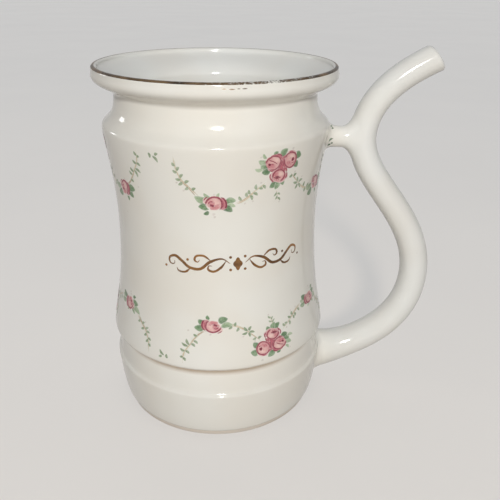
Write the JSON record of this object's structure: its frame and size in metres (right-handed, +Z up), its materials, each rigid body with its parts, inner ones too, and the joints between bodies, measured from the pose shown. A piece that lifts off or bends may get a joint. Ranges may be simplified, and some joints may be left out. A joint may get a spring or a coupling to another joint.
{
  "type": "spa drinking cup",
  "caption": "Waisted porcelain spa cup with a flared gilded rim and a hollow S-shaped handle that doubles as the drinking tube.",
  "frame": {"origin": "centre of the cup's flat underside, on the table", "axes": "+Z up along the cup's axis, +X from the axis out through the handle, +Y across the handle's plane"},
  "size_m": [0.1162, 0.0778, 0.1254],
  "materials": {
    "cream_glaze": "glossy clear glaze over cream-white porcelain",
    "white_glaze": "glossy clear glaze over white porcelain",
    "slip_glaze": "slip seam under the same clear glaze, slightly duller",
    "worn_gold": "thin fired gold line, rubbed and darkened"
  },
  "bodies": {
    "root": {"cup_body": "cream_glaze", "sipping_handle": "white_glaze", "port_slip_joint": "slip_glaze", "bridge_slip_joint": "slip_glaze", "rim_gilding": "worn_gold"}
  },
  "joints": []
}
